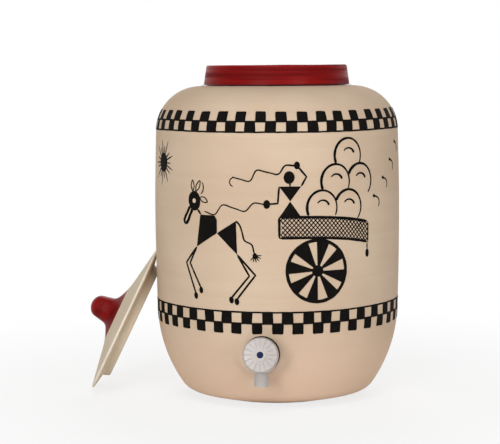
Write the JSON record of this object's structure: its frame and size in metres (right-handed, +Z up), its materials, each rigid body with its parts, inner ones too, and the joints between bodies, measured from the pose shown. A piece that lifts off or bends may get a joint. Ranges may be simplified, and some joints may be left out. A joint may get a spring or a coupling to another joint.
{
  "type": "clay water pot with tap",
  "caption": "Upright clay water pot with a short neck, a hand-painted wall, a plastic tap low on its front, and a clay lid that leans against its side.",
  "frame": {"origin": "middle of the pot's flat foot, on the surface that it stands on", "axes": "+Z up along the pot's axis, -Y towards the tap at the front, +X to the right seen from the front"},
  "size_m": [0.3373, 0.2887, 0.355],
  "materials": {
    "pot_clay": "matte unglazed",
    "lid_clay": "matte unglazed, painted knob",
    "tap_plastic": "white moulded",
    "bonnet_plastic": "white moulded",
    "knob_plastic": "white moulded",
    "valve_plastic": "moulded",
    "cap_plastic": "dark blue",
    "black_rubber": "matte",
    "fibre_gasket": "matte",
    "screw_steel": "zinc plated"
  },
  "bodies": {
    "pot": {"pot_body": "pot_clay", "tap_body": "tap_plastic", "outer_washer": "black_rubber", "inner_washer": "black_rubber", "bonnet_gasket": "fibre_gasket", "back_nut": "tap_plastic", "bonnet": "bonnet_plastic"},
    "valve": {"valve_plunger": "valve_plastic", "valve_washer": "black_rubber"},
    "tap_knob": {"spindle": "valve_plastic", "spindle_seal": "black_rubber", "knob": "knob_plastic", "knob_screw": "screw_steel", "knob_cap": "cap_plastic"},
    "lid": {"lid": "lid_clay"}
  },
  "joints": [
    {"name": "valve_slide", "type": "slide", "parent": "pot", "child": "valve", "axis": [-0.0715, -0.9737, 0.2164], "range_m": [0, 0.00225]},
    {"name": "knob_turn", "type": "hinge", "parent": "valve", "child": "tap_knob", "pos_m": [-0.01896, -0.13798, 0.0628], "axis": [-0.0715, -0.9737, 0.2164], "range_deg": [0, 270]},
    {"name": "lid_lift", "type": "slide", "parent": "pot", "child": "lid", "axis": [-0.6, 0, 0.8], "range_m": [0, 0.25]}
  ],
  "couplings": [
    {"joint": "knob_turn", "follows": "valve_slide", "rad_per_m": 2094.4}
  ]
}
